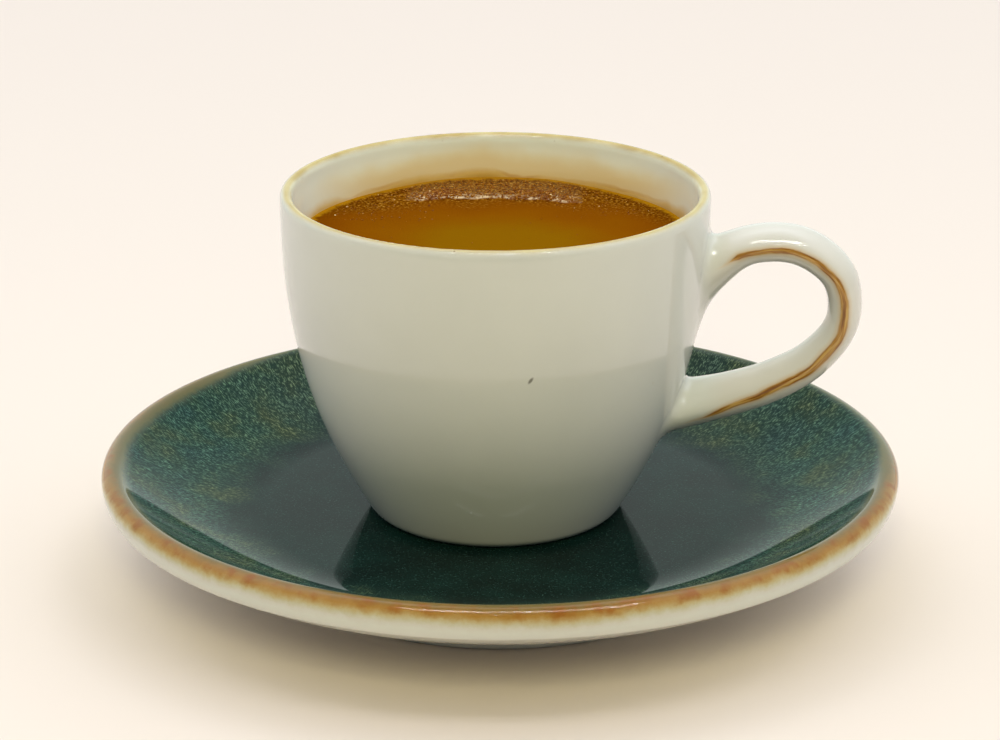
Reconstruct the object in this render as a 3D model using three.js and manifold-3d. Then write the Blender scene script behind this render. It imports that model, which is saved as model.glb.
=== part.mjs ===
// A small cup of coffee on its saucer: three solids in millimetres, +Z up.
// The saucer stands on z = 0 with its axis on the origin, and the cup's handle points along +X.
import * as THREE from 'three';
import { mergeVertices } from 'three/addons/utils/BufferGeometryUtils.js';
import loadManifold from 'manifold-3d';

const manifold = await loadManifold();
manifold.setup();

const TURN_STEPS = 48;

// Saucer: a flat centre, a wall that steepens outwards to the rim, and a foot ring below.
// The rim is round above its widest ring and drawn down to a deeper oval below it; its angles are in degrees
const SAUCER_RADIUS = 59;
const SAUCER_HEIGHT = 17.7;
const RIM_ROUND = 1.83;
const RIM_DEPTH = 3.1;
const RIM_TOP_JOIN = 126;
const RIM_LOW_JOIN = -70;
const WELL_RADIUS = 35;
const WELL_HEIGHT = 9.6;
const WALL_POWER = 2;
const BASE_HEIGHT = 5.4;
const UNDERSIDE_RADIUS = 36;
const UNDERSIDE_POWER = 1.8;
const SAUCER_FOOT_INNER = 28.4;
const SAUCER_FOOT_OUTER = 32.4;
const FOOT_ROUND = 0.7;
const FOOT_FILLET = 1.5;

// Cup: it stands a little off the saucer's centre, as poured and served
const CUP_OFFSET_X = -0.67;
const REST_GAP = 0.3;
const CUP_HEIGHT = 48.7;
const CUP_RADIUS = 31.2;
const CUP_FOOT_RADIUS = 18.3;
const CUP_FOOT_INNER = 14;
const CUP_FOOT_RECESS = 1.2;
const BODY_POWER = 2.4;
const LIP_ROUND = 0.9;
const LIP_CENTRE_RADIUS = CUP_RADIUS - LIP_ROUND;
const WALL_AT_LEVEL = 2.45;
const WALL_AT_FLOOR = 3.4;
const CUP_FLOOR = 5;
const FLOOR_ROUND = 9;

// Handle: a strap of oval section in the XZ plane, flared where it joins the wall
const HANDLE_ROUTE = [
  [25, 34.9], [31.2, 38.3], [37.6, 41.4], [44.5, 41.2], [49.9, 36.9], [50.6, 30.1],
  [46.7, 24.4], [40.7, 20.6], [34.1, 18.2], [27.3, 16.5], [20.4, 15.1],
];
const UPPER_RUN = { at: 0.3, halfThickness: 2.77 };
const BEND = { at: 0.5, halfThickness: 2.46 };
const LOWER_RUN = { at: 0.75, halfThickness: 3.02 };
const HANDLE_HALF_WIDTH = 4.5;
const SECTION_POWER = 1.8;
const UPPER_FLARE = { reach: 0.2, thickness: 5.4, width: 2.6 };
const LOWER_FLARE = { reach: 0.3, thickness: 1, width: 3.6 };
const HANDLE_STEPS = 32;
const SECTION_STEPS = 14;

// Coffee: filled to this height above the cup's foot, drawn up a little where it meets the wall
const COFFEE_LEVEL = 41.3;
const COFFEE_GAP = 0.3;
const MENISCUS_RISE = 0.5;
const MENISCUS_WIDTH = 2;

const glaze = new THREE.MeshStandardMaterial({ color: 0xdcd9c8, roughness: 0.15, metalness: 0 });
const tealGlaze = new THREE.MeshStandardMaterial({ color: 0x24504c, roughness: 0.2, metalness: 0 });
const brew = new THREE.MeshStandardMaterial({ color: 0x8f5c0a, roughness: 0.12, metalness: 0 });

// Points (radius, height) along a round or oval arc, angles in degrees from +radius towards +height
function arc(radius, height, round, fromDegrees, toDegrees, steps, depth = round) {
  return Array.from({ length: steps + 1 }, (_, i) => {
    const angle = THREE.MathUtils.degToRad(fromDegrees + ((toDegrees - fromDegrees) * i) / steps);
    return new THREE.Vector2(radius + round * Math.cos(angle), height + depth * Math.sin(angle));
  });
}

// Points (radius, height) where the radius runs evenly and the height follows a function of it
function slope(fromRadius, toRadius, heightAt, steps) {
  return Array.from({ length: steps + 1 }, (_, i) => {
    const radius = fromRadius + ((toRadius - fromRadius) * i) / steps;
    return new THREE.Vector2(radius, heightAt(radius));
  });
}

// Points (radius, height) where the height runs evenly and the radius follows a function of it
function wall(fromHeight, toHeight, radiusAt, steps) {
  return Array.from({ length: steps + 1 }, (_, i) => {
    const height = fromHeight + ((toHeight - fromHeight) * i) / steps;
    return new THREE.Vector2(radiusAt(height), height);
  });
}

// A turned solid: the profile runs from the axis below, round the outside, to the axis above
function turned(profile) {
  const geometry = new THREE.LatheGeometry(profile, TURN_STEPS);
  geometry.rotateX(Math.PI / 2);
  return geometry;
}

// A closed manifold solid from a geometry, without the empty triangles on a turned solid's axis
function solidOf(geometry) {
  const bare = geometry.clone();
  bare.deleteAttribute('normal');
  bare.deleteAttribute('uv');
  const merged = mergeVertices(bare, 1e-4);
  const corners = [];
  for (let i = 0; i < merged.index.count; i += 3) {
    const triangle = [0, 1, 2].map((k) => merged.index.getX(i + k));
    if (new Set(triangle).size === 3) corners.push(...triangle);
  }
  return new manifold.Manifold(new manifold.Mesh({
    numProp: 3,
    vertProperties: new Float32Array(merged.attributes.position.array),
    triVerts: new Uint32Array(corners),
  }));
}

function geometryOf(solid) {
  const mesh = solid.getMesh();
  const geometry = new THREE.BufferGeometry();
  geometry.setAttribute('position', new THREE.BufferAttribute(mesh.vertProperties, 3));
  geometry.setIndex(new THREE.BufferAttribute(mesh.triVerts, 1));
  geometry.computeVertexNormals();
  return geometry;
}

function saucerGeometry() {
  const rimRadius = SAUCER_RADIUS - RIM_ROUND;
  const rimHeight = SAUCER_HEIGHT - RIM_ROUND;
  const lowRim = arc(rimRadius, rimHeight, RIM_ROUND, RIM_LOW_JOIN, 0, 5, RIM_DEPTH);
  const topRim = arc(rimRadius, rimHeight, RIM_ROUND, 0, RIM_TOP_JOIN, 7);
  const low = lowRim[0];
  const top = topRim[topRim.length - 1];
  const upper = (radius) => WELL_HEIGHT
    + (top.y - WELL_HEIGHT) * ((radius - WELL_RADIUS) / (top.x - WELL_RADIUS)) ** WALL_POWER;
  const under = (radius) => BASE_HEIGHT
    + (low.y - BASE_HEIGHT) * ((radius - UNDERSIDE_RADIUS) / (low.x - UNDERSIDE_RADIUS)) ** UNDERSIDE_POWER;
  return turned([
    new THREE.Vector2(0, BASE_HEIGHT),
    ...arc(SAUCER_FOOT_INNER - FOOT_FILLET, BASE_HEIGHT - FOOT_FILLET, FOOT_FILLET, 90, 0, 2),
    ...arc(SAUCER_FOOT_INNER + FOOT_ROUND, FOOT_ROUND, FOOT_ROUND, 180, 270, 2),
    ...arc(SAUCER_FOOT_OUTER - FOOT_ROUND, FOOT_ROUND, FOOT_ROUND, 270, 360, 2),
    ...arc(SAUCER_FOOT_OUTER + FOOT_FILLET, BASE_HEIGHT - FOOT_FILLET, FOOT_FILLET, 180, 90, 2),
    ...slope(UNDERSIDE_RADIUS, low.x, under, 5),
    ...lowRim.slice(1),
    ...topRim.slice(1, -1),
    ...slope(top.x, WELL_RADIUS, upper, 6),
    new THREE.Vector2(0, WELL_HEIGHT),
  ]);
}

// The cup's outside swells quickly above the foot and runs nearly upright below the lip
function cupRadiusAt(height) {
  const rise = Math.min(height / (CUP_HEIGHT - LIP_ROUND), 1);
  return CUP_RADIUS - (CUP_RADIUS - CUP_FOOT_RADIUS) * (1 - rise) ** BODY_POWER;
}

// The inside follows the outside, less a wall that thins from the floor to the lip
function cavityRadiusAt(height) {
  const rise = (height - CUP_FLOOR) / (COFFEE_LEVEL - CUP_FLOOR);
  return cupRadiusAt(height) - WALL_AT_FLOOR + (WALL_AT_FLOOR - WALL_AT_LEVEL) * rise;
}

// The cavity's outline up to a height, drawn in by a gap on every side, with a rounded floor
function cavityProfile(toHeight, gap, steps) {
  const floor = CUP_FLOOR + gap;
  const bend = floor + FLOOR_ROUND;
  const bendRadius = cavityRadiusAt(bend) - gap;
  const bowl = Array.from({ length: 5 }, (_, i) => {
    const angle = (Math.PI / 2) * (i / 5);
    const radius = bendRadius - FLOOR_ROUND + FLOOR_ROUND * Math.sin(angle);
    return new THREE.Vector2(radius, bend - FLOOR_ROUND * Math.cos(angle));
  });
  return [
    new THREE.Vector2(0, floor),
    ...bowl,
    ...wall(bend, toHeight, (height) => cavityRadiusAt(height) - gap, steps),
  ];
}

function cupBlank() {
  const lipHeight = CUP_HEIGHT - LIP_ROUND;
  return turned([
    new THREE.Vector2(0, CUP_FOOT_RECESS),
    new THREE.Vector2(CUP_FOOT_INNER - CUP_FOOT_RECESS, CUP_FOOT_RECESS),
    new THREE.Vector2(CUP_FOOT_INNER, 0),
    new THREE.Vector2(CUP_FOOT_RADIUS - FOOT_ROUND, 0),
    ...wall(FOOT_ROUND, lipHeight - 1.5, cupRadiusAt, 13),
    ...arc(LIP_CENTRE_RADIUS, lipHeight, LIP_ROUND, 0, 180, 6),
    new THREE.Vector2(0, lipHeight),
  ]);
}

function cavity() {
  const lipHeight = CUP_HEIGHT - LIP_ROUND;
  const lipInner = LIP_CENTRE_RADIUS - LIP_ROUND;
  return turned([
    ...cavityProfile(COFFEE_LEVEL + 2, 0, 6),
    new THREE.Vector2(lipInner, lipHeight),
    new THREE.Vector2(lipInner, CUP_HEIGHT + 1),
    new THREE.Vector2(0, CUP_HEIGHT + 1),
  ]);
}

// How much of a flare is left at a distance (0 to 1) along the handle from its root
function flareLeft(flare, distance) {
  return Math.max(0, 1 - distance / flare.reach) ** 2;
}

// The strap is thinnest at its bend and thickens smoothly towards both runs
function runHalfThickness(along) {
  const run = along < BEND.at ? UPPER_RUN : LOWER_RUN;
  const share = THREE.MathUtils.smoothstep(Math.abs(along - BEND.at), 0, Math.abs(run.at - BEND.at));
  return THREE.MathUtils.lerp(BEND.halfThickness, run.halfThickness, share);
}

// One coordinate of the section: an oval drawn out to a soft edge on either side
function ovalReach(halfSize, wave) {
  return halfSize * Math.sign(wave) * Math.abs(wave) ** (2 / SECTION_POWER);
}

// The handle: oval rings along a spline, each square to it, closed by a fan at either end
function handleGeometry() {
  const route = new THREE.SplineCurve(HANDLE_ROUTE.map((point) => new THREE.Vector2(...point)));
  const positions = [];
  for (let i = 0; i <= HANDLE_STEPS; i += 1) {
    const along = i / HANDLE_STEPS;
    const centre = route.getPointAt(along);
    const tangent = route.getTangentAt(along);
    const upper = flareLeft(UPPER_FLARE, along);
    const lower = flareLeft(LOWER_FLARE, 1 - along);
    const thickness = runHalfThickness(along) + UPPER_FLARE.thickness * upper + LOWER_FLARE.thickness * lower;
    const width = HANDLE_HALF_WIDTH + UPPER_FLARE.width * upper + LOWER_FLARE.width * lower;
    for (let j = 0; j < SECTION_STEPS; j += 1) {
      const angle = (2 * Math.PI * j) / SECTION_STEPS;
      const out = ovalReach(thickness, Math.cos(angle));
      const side = ovalReach(width, Math.sin(angle));
      positions.push(centre.x - tangent.y * out, side, centre.y + tangent.x * out);
    }
  }
  const index = [];
  for (let i = 0; i < HANDLE_STEPS; i += 1) {
    for (let j = 0; j < SECTION_STEPS; j += 1) {
      const a = i * SECTION_STEPS + j;
      const b = i * SECTION_STEPS + ((j + 1) % SECTION_STEPS);
      index.push(a, a + SECTION_STEPS, b, b, a + SECTION_STEPS, b + SECTION_STEPS);
    }
  }
  const last = HANDLE_STEPS * SECTION_STEPS;
  for (let j = 1; j < SECTION_STEPS - 1; j += 1) {
    index.push(0, j, j + 1, last, last + j + 1, last + j);
  }
  const geometry = new THREE.BufferGeometry();
  geometry.setAttribute('position', new THREE.Float32BufferAttribute(positions, 3));
  geometry.setIndex(index);
  return geometry;
}

// Body and handle are one fired piece: joined first, then hollowed, so no root shows inside
function cupGeometry() {
  const body = solidOf(cupBlank()).add(solidOf(handleGeometry()));
  return geometryOf(body.subtract(solidOf(cavity())));
}

function coffeeGeometry() {
  const edge = cavityRadiusAt(COFFEE_LEVEL + MENISCUS_RISE) - COFFEE_GAP;
  const meniscus = (radius) => COFFEE_LEVEL
    + MENISCUS_RISE * ((radius - edge + MENISCUS_WIDTH) / MENISCUS_WIDTH) ** 2;
  return turned([
    ...cavityProfile(COFFEE_LEVEL + MENISCUS_RISE, COFFEE_GAP, 5),
    ...slope(edge, edge - MENISCUS_WIDTH, meniscus, 3).slice(1),
    new THREE.Vector2(0, COFFEE_LEVEL),
  ]);
}

function named(name, geometry, material) {
  const mesh = new THREE.Mesh(geometry, material);
  mesh.name = name;
  return mesh;
}

const filledCup = new THREE.Group();
filledCup.position.set(CUP_OFFSET_X, 0, WELL_HEIGHT + REST_GAP);
filledCup.add(named('cup', cupGeometry(), glaze));
filledCup.add(named('coffee', coffeeGeometry(), brew));

const group = new THREE.Group();
group.add(named('saucer', saucerGeometry(), tealGlaze));
group.add(filledCup);

export default group;
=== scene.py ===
"""A small cup of coffee on its saucer: glazed ware, fine foam, a pale floor and soft studio light."""
import math
import bpy
import numpy as np
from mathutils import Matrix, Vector, noise


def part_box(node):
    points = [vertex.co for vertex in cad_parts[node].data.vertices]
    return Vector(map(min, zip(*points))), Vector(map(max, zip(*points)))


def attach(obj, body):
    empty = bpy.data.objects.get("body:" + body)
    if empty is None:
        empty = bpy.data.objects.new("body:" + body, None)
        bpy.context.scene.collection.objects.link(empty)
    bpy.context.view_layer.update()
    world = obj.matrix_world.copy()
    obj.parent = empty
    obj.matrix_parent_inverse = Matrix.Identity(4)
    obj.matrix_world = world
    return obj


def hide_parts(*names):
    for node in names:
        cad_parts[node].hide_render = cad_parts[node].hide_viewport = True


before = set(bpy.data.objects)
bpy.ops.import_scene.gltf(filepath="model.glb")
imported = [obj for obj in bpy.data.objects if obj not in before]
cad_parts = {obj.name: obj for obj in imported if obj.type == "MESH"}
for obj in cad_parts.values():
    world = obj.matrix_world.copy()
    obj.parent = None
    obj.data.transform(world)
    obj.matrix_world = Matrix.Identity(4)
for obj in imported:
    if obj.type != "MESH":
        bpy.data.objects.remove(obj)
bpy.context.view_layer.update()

MM = 0.001
SEED = 7

# Sizes in millimetres, as in the frame. Heights on the cup and the coffee are above the cup's foot
SAUCER_LOW, SAUCER_HIGH = (np.array(corner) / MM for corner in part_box("saucer"))
CUP_LOW, CUP_HIGH = (np.array(corner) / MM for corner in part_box("cup"))

SAUCER_RADIUS = (SAUCER_HIGH[0] - SAUCER_LOW[0]) / 2
SAUCER_HEIGHT = SAUCER_HIGH[2]
RIM_ROUND = 1.83
RIM_DEPTH = 3.1
RIM_TOP_JOIN = 126
RIM_LOW_JOIN = -70
WELL_RADIUS = 35.0
WELL_HEIGHT = 9.6
BASE_HEIGHT = 5.4
UNDERSIDE_RADIUS = 36.0
UNDERSIDE_POWER = 1.8
FOOT_INNER = 28.4
FOOT_OUTER = 32.4
FOOT_ROUND = 0.7
FOOT_FILLET = 1.5

CUP_RADIUS = (CUP_HIGH[1] - CUP_LOW[1]) / 2
CUP_HEIGHT = CUP_HIGH[2] - CUP_LOW[2]
CUP_AXIS = np.array([CUP_LOW[0] + CUP_RADIUS, 0.0, CUP_LOW[2]])
CUP_STAND = WELL_HEIGHT - CUP_AXIS[2] + 0.01
CUP_FOOT_RADIUS = 18.3
CUP_FOOT_INNER = 14.0
CUP_FOOT_RECESS = 1.2
BODY_POWER = 2.4
LIP_ROUND = 0.9
LIP_RADIUS = CUP_RADIUS - LIP_ROUND
LIP_HEIGHT = CUP_HEIGHT - LIP_ROUND
WALL_AT_FLOOR = 3.4
WALL_AT_LEVEL = 2.45
CUP_FLOOR = 5.0
CAVITY_ROUND = 14.0

COFFEE_LEVEL = 41.3
COFFEE_GAP = 0.3
COFFEE_INTO_WALL = 0.25
MENISCUS_RISE = 0.25
MENISCUS_WIDTH = 2.2
RIPPLE_RISE = 0.03
RIPPLE_LENGTH = 6.25

HANDLE_ROUTE = [
    [25, 34.9], [31.2, 38.3], [37.6, 41.4], [44.5, 41.2], [49.9, 36.9], [50.6, 30.1],
    [46.7, 24.4], [40.7, 20.6], [34.1, 18.2], [27.3, 16.5], [20.4, 15.1],
]
UPPER_RUN = {"at": 0.3, "half_thickness": 2.77}
BEND = {"at": 0.5, "half_thickness": 2.46}
LOWER_RUN = {"at": 0.75, "half_thickness": 3.02}
HANDLE_HALF_WIDTH = 4.5
SECTION_POWER = 1.8
UPPER_FLARE = {"reach": 0.2, "thickness": 5.4, "width": 2.6}
LOWER_FLARE = {"reach": 0.3, "thickness": 1.0, "width": 3.6}
HANDLE_FILLET = 1.5
HANDLE_STARTS = 18.0
HANDLE_REACH = 16.0
STRAP_STARTS = 24.0
OFF_STRAP = 20.0

# Grid from which the cup's skin is made, and the free space around it
SKIN_CELL = 0.55
SKIN_MARGIN = 1.2

# Foam at the back of the coffee, in millimetres from the cup's axis
FOAM_RISE = 0.5
FOAM_FRONT = 18.6
FOAM_CURVE = 0.0126
FOAM_SLOPE = (-0.4, 0.5)
FOAM_MIDDLE = -2.0
FOAM_FULL_LENGTH = 6.0
FOAM_HALF_LENGTH = 19.0
FOAM_WAVES = ((0.3, 0.9), (0.15, 2.3))

# Bubbles on the coffee, in millimetres from the cup's axis: most in the foam, fewer to either side
BUBBLE_FLATNESS = 0.8
BUBBLE_PATCHES = [
    {"count": 1500, "x": (-24.0, 20.0), "y": (12.0, 28.0), "size": (0.07, 0.24), "on_foam": True},
    {"count": 300, "x": (-16.0, -6.0), "y": (17.0, 22.0), "size": (0.1, 0.3), "on_foam": True},
    {"count": 300, "x": (-2.0, 11.0), "y": (17.0, 22.5), "size": (0.1, 0.3), "on_foam": True},
    {"count": 200, "x": (-27.0, -9.0), "y": (6.0, 25.0), "size": (0.06, 0.2), "on_foam": False},
    {"count": 190, "x": (4.0, 25.0), "y": (12.0, 27.0), "size": (0.06, 0.2), "on_foam": False},
    {"count": 40, "x": (-24.0, 24.0), "y": (-12.0, 18.0), "size": (0.06, 0.14), "on_foam": False},
]

# The one dark fleck on the front of the cup
FLECK_PLACE = (7.72, -28.92, 29.62)
FLECK_LEAN = math.radians(35)
FLECK_HALF_LENGTH = 0.55
FLECK_HALF_WIDTH = 0.22

# Streaks in the saucer's glaze, in millimetres: their width, width over length, and the ring they lie on
STREAK_WIDTH = 0.15
STREAK_STRETCH = 0.25
STREAK_RADIUS = 46.0

# The side, as a direction, where the ochre at the saucer's rim is thinnest
RIM_THIN_SIDE = (0.3, 0.95, 0)

# The brown line along the handle's edges: offsets in millimetres, places as shares of the handle's length
LINE_START = (0.11, 0.17)
LINE_END = (0.82, 0.92)
LINE_BEND = 0.55
LINE_SHIFT = 1.6
LINE_SWAY = 0.35
LINE_TAPER = 1.1
LINE_SWELL = 0.18
LINE_EDGE = (0.6, 0.7)
LINE_BORDER = (1.1, 0.4)
LINE_CORE = (0.55, 0.25)
STROKES_ACROSS = 2.4
STROKES_ALONG = 12.0

# Sizes of the marks in each finish, in millimetres. The finest grain and dots are drawn coarser, to show
FILM_CLOUD = 10.0
FILM_SWAY = 1.8
TIDE_HEIGHT = 1.0
TIDE_GAP = 5.0
LIP_DRIFT = 7.14
LIP_DOT = 2.22
LINE_UNEVEN = 4.0
BODY_CLOUD = 16.67
GLAZE_PATCH = 7.14
WELL_DOT = 0.3125
RIM_DRIFT = 20.0
RIM_MOTTLE = 2.0
RIM_BLOTCH = 2.86
BREW_CLOUD = 12.5
BREW_SWAY = 7.0
CREMA_GRAIN = 0.4167
FOAM_GAP = 1.11
BUBBLE_TINT = 0.625

# Studio, in metres
FLOOR_FRONT = 0.24
FLOOR_FAR = 4.0
TENT_STRENGTH = 2.76
LAMP_BAR = (0.16, -0.42, 1.5)
LAMP_BAR_WIDE = 1.18
LAMP_BAR_DEEP = 0.2
LAMP_SPACING = 0.059
LAMP_SIZE = 0.024
LAMP_WATTS = 0.084
FRONT_LIGHT = (0.1, -1.2, 0.9)
FRONT_LIGHT_SIZE = 0.45
FRONT_LIGHT_WATTS = 7.4
BULB = (0.06, -0.95, 1.15)
BULB_SIZE = 0.03
BULB_WATTS = 0.4
GLINT_WIDTH = 0.02
GLINT_WATTS = 14.0

# Camera: the photo's viewpoint, worked out from the rim and the saucer
CAMERA_AZIMUTH = math.radians(5.5)
CAMERA_ELEVATION = math.radians(19.48)
CAMERA_DISTANCE = 500.0
CAMERA_TARGET_HEIGHT = 30.69
CAMERA_LENS = 122.09
CAMERA_SENSOR = 36.0


def linear(code):
    """The linear colour of an sRGB hex value, with alpha 1."""
    parts = [int(code[i:i + 2], 16) / 255 for i in (1, 3, 5)]
    return [c / 12.92 if c <= 0.04045 else ((c + 0.055) / 1.055) ** 2.4 for c in parts] + [1.0]


# Shapes

def mesh_piece(name, points, faces, material, node):
    """A smooth mesh in the shared frame, from points in millimetres."""
    mesh = bpy.data.meshes.new(name)
    mesh.from_pydata((np.asarray(points) * MM).tolist(), [], [list(map(int, face)) for face in faces])
    mesh.polygons.foreach_set("use_smooth", [True] * len(mesh.polygons))
    mesh.materials.append(material)
    mesh.update()
    piece = bpy.data.objects.new(name, mesh)
    bpy.context.collection.objects.link(piece)
    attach(piece, "root")
    if node:
        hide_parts(node)
    return piece


def note(piece, name, values):
    """Stores one number for each point of a piece, for its material to read."""
    piece.data.attributes.new(name, "FLOAT", "POINT").data.foreach_set("value", np.asarray(values, float))


def turned(profile, steps):
    """Points and faces of a solid turned about the axis, from a profile that starts and ends on it."""
    angles = np.linspace(0, 2 * math.pi, steps, endpoint=False)
    ring = np.stack([np.cos(angles), np.sin(angles)], 1)
    rows = [np.column_stack([ring * radius, np.full(steps, height)]) for radius, height in profile[1:-1]]
    points = np.vstack([[[0, 0, profile[0][1]]], *rows, [[0, 0, profile[-1][1]]]])
    last = len(points) - 1
    near, far = np.arange(steps), (np.arange(steps) + 1) % steps
    faces = [(0, 1 + far[i], 1 + near[i]) for i in range(steps)]
    for row in range(len(rows) - 1):
        a, b = 1 + row * steps, 1 + (row + 1) * steps
        faces += [(a + near[i], a + far[i], b + far[i], b + near[i]) for i in range(steps)]
    top = last - steps
    faces += [(top + near[i], top + far[i], last) for i in range(steps)]
    return points, faces


def arc(radius, height, size, start, end, steps, depth=None):
    """Profile points on a round or oval arc, angles in degrees from outwards towards up."""
    angles = np.radians(np.linspace(start, end, steps))
    return np.stack([radius + size * np.cos(angles), height + (depth or size) * np.sin(angles)], 1)


def saucer_profile():
    """From the centre of the underside, out round the foot ring and the rim, and back over the top."""
    rim_radius, rim_height = SAUCER_RADIUS - RIM_ROUND, SAUCER_HEIGHT - RIM_ROUND
    low_rim = arc(rim_radius, rim_height, RIM_ROUND, RIM_LOW_JOIN, 0, 16, RIM_DEPTH)
    top_rim = arc(rim_radius, rim_height, RIM_ROUND, 0, RIM_TOP_JOIN, 22)
    low, top = low_rim[0], top_rim[-1]
    outward = np.linspace(0, 1, 40)[:, None]
    inward = np.linspace(1, 0, 60)[:, None]
    under_start = np.array([UNDERSIDE_RADIUS, BASE_HEIGHT])
    wall_end = np.array([WELL_RADIUS, WELL_HEIGHT])
    return np.vstack([
        [[0, BASE_HEIGHT]],
        [[14, BASE_HEIGHT]],
        arc(FOOT_INNER - FOOT_FILLET, BASE_HEIGHT - FOOT_FILLET, FOOT_FILLET, 90, 0, 6),
        arc(FOOT_INNER + FOOT_ROUND, FOOT_ROUND, FOOT_ROUND, 180, 270, 6),
        arc(FOOT_OUTER - FOOT_ROUND, FOOT_ROUND, FOOT_ROUND, 270, 360, 6),
        arc(FOOT_OUTER + FOOT_FILLET, BASE_HEIGHT - FOOT_FILLET, FOOT_FILLET, 180, 90, 6),
        under_start + (low - under_start) * np.hstack([outward, outward ** UNDERSIDE_POWER]),
        low_rim[1:],
        top_rim[1:-1],
        wall_end + (top - wall_end) * np.hstack([inward, inward ** 2]),
        [[radius, WELL_HEIGHT] for radius in (28, 21, 14, 7)],
        [[0, WELL_HEIGHT]],
    ])


def make_saucer():
    """The saucer, with each point's distance along its surface from the crest of the rim."""
    profile = saucer_profile()
    steps = 240
    points, faces = turned(profile, steps)
    along = np.concatenate([[0], np.cumsum(np.linalg.norm(np.diff(profile, axis=0), axis=1))])
    crest = along[np.argmax(profile[:, 1])]
    from_rim = np.concatenate([[along[0]], np.repeat(along[1:-1], steps), [along[-1]]]) - crest
    saucer = mesh_piece("glazed_saucer", points, faces, reactive_glaze(), "saucer")
    note(saucer, "from_rim", from_rim)
    return saucer


def cup_radius(height):
    """The cup's outside: it swells quickly above the foot and is nearly upright below the lip."""
    rise = np.clip(height / LIP_HEIGHT, 0, 1)
    return CUP_RADIUS - (CUP_RADIUS - CUP_FOOT_RADIUS) * (1 - rise) ** BODY_POWER


def ease(low, high, value):
    """A smooth step from 0 at low to 1 at high."""
    t = np.clip((value - low) / (high - low), 0, 1)
    return t * t * (3 - 2 * t)


def cavity_radius(height):
    """The cup's inside: the wall thins from the floor to the level, and again into the lip."""
    rise = (height - CUP_FLOOR) / (COFFEE_LEVEL - CUP_FLOOR)
    wall = WALL_AT_FLOOR - (WALL_AT_FLOOR - WALL_AT_LEVEL) * np.clip(rise, 0, 1)
    thinned = (WALL_AT_LEVEL - 2 * LIP_ROUND) * ease(COFFEE_LEVEL, LIP_HEIGHT, height)
    return cup_radius(height) - wall + thinned


def handle_route(count):
    """Evenly spaced points on the smooth curve through the handle's route."""
    points = np.array(HANDLE_ROUTE, float)
    padded = np.vstack([points[:1], points, points[-1:]])
    place = np.linspace(0, len(points) - 1, 4000)
    k = np.minimum(place.astype(int), len(points) - 2)
    u = (place - k)[:, None]
    p0, p1, p2, p3 = (padded[k + i] for i in range(4))
    v0, v1 = (p2 - p0) / 2, (p3 - p1) / 2
    curve = (2 * p1 - 2 * p2 + v0 + v1) * u ** 3 + (3 * p2 - 3 * p1 - 2 * v0 - v1) * u ** 2 + v0 * u + p1
    length = np.concatenate([[0], np.cumsum(np.linalg.norm(np.diff(curve, axis=0), axis=1))])
    even = np.linspace(0, length[-1], count)
    return np.stack([np.interp(even, length, curve[:, i]) for i in (0, 1)], 1)


ROUTE = handle_route(400)
ROUTE_TANGENT = np.gradient(ROUTE, axis=0)
ROUTE_STEP = np.linalg.norm(ROUTE_TANGENT, axis=1).mean()
ROUTE_TANGENT /= np.linalg.norm(ROUTE_TANGENT, axis=1)[:, None]


def strap_place(points):
    """For each point: how far along the handle it is (0 to 1), and how far off its middle line."""
    flat = points[:, [0, 2]]
    nearest = np.empty(len(flat), int)
    for start in range(0, len(flat), 20000):
        part = flat[start:start + 20000]
        nearest[start:start + 20000] = (
            (part[:, None, 0] - ROUTE[None, :, 0]) ** 2 + (part[:, None, 1] - ROUTE[None, :, 1]) ** 2
        ).argmin(1)
    ahead = ((flat - ROUTE[nearest]) * ROUTE_TANGENT[nearest]).sum(1) / ROUTE_STEP
    place = np.clip(nearest + ahead, 0, len(ROUTE) - 1)
    index = np.arange(len(ROUTE))
    centre = np.stack([np.interp(place, index, ROUTE[:, i]) for i in (0, 1)], 1)
    tangent = np.stack([np.interp(place, index, ROUTE_TANGENT[:, i]) for i in (0, 1)], 1)
    offset = (flat[:, 0] - centre[:, 0]) * -tangent[:, 1] + (flat[:, 1] - centre[:, 1]) * tangent[:, 0]
    return place / (len(ROUTE) - 1), offset


def strap_size(along):
    """Half thickness and half width of the strap, flared towards both roots."""
    upper = np.clip(1 - along / UPPER_FLARE["reach"], 0, 1) ** 2
    lower = np.clip(1 - (1 - along) / LOWER_FLARE["reach"], 0, 1) ** 2
    before = ease(0, BEND["at"] - UPPER_RUN["at"], BEND["at"] - along)
    after = ease(0, LOWER_RUN["at"] - BEND["at"], along - BEND["at"])
    thickness = (
        BEND["half_thickness"]
        + (UPPER_RUN["half_thickness"] - BEND["half_thickness"]) * before + UPPER_FLARE["thickness"] * upper
        + (LOWER_RUN["half_thickness"] - BEND["half_thickness"]) * after + LOWER_FLARE["thickness"] * lower
    )
    width = HANDLE_HALF_WIDTH + UPPER_FLARE["width"] * upper + LOWER_FLARE["width"] * lower
    return thickness, width


def handle_field(points):
    """Distance outside the handle's oval strap, negative inside."""
    along, offset = strap_place(points)
    thickness, width = strap_size(along)
    u, v = np.abs(offset / thickness) + 1e-6, np.abs(points[:, 1] / width) + 1e-6
    size = (u ** SECTION_POWER + v ** SECTION_POWER) ** (1 / SECTION_POWER)
    bend = SECTION_POWER - 1
    slope = np.hypot((u / size) ** bend / thickness, (v / size) ** bend / width)
    return (size - 1) / slope


def blend_min(a, b, reach):
    """The lesser of two distances, rounded where they are within a reach of each other."""
    h = np.maximum(reach - np.abs(a - b), 0) / reach
    return np.minimum(a, b) - h * h * reach / 4


def wall_distance(radius, height, radius_at):
    """Distance outside a turned wall whose radius is known at each height."""
    slope = (radius_at(height + 0.05) - radius_at(height - 0.05)) / 0.1
    return (radius - radius_at(height)) / np.sqrt(1 + slope ** 2)


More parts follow.
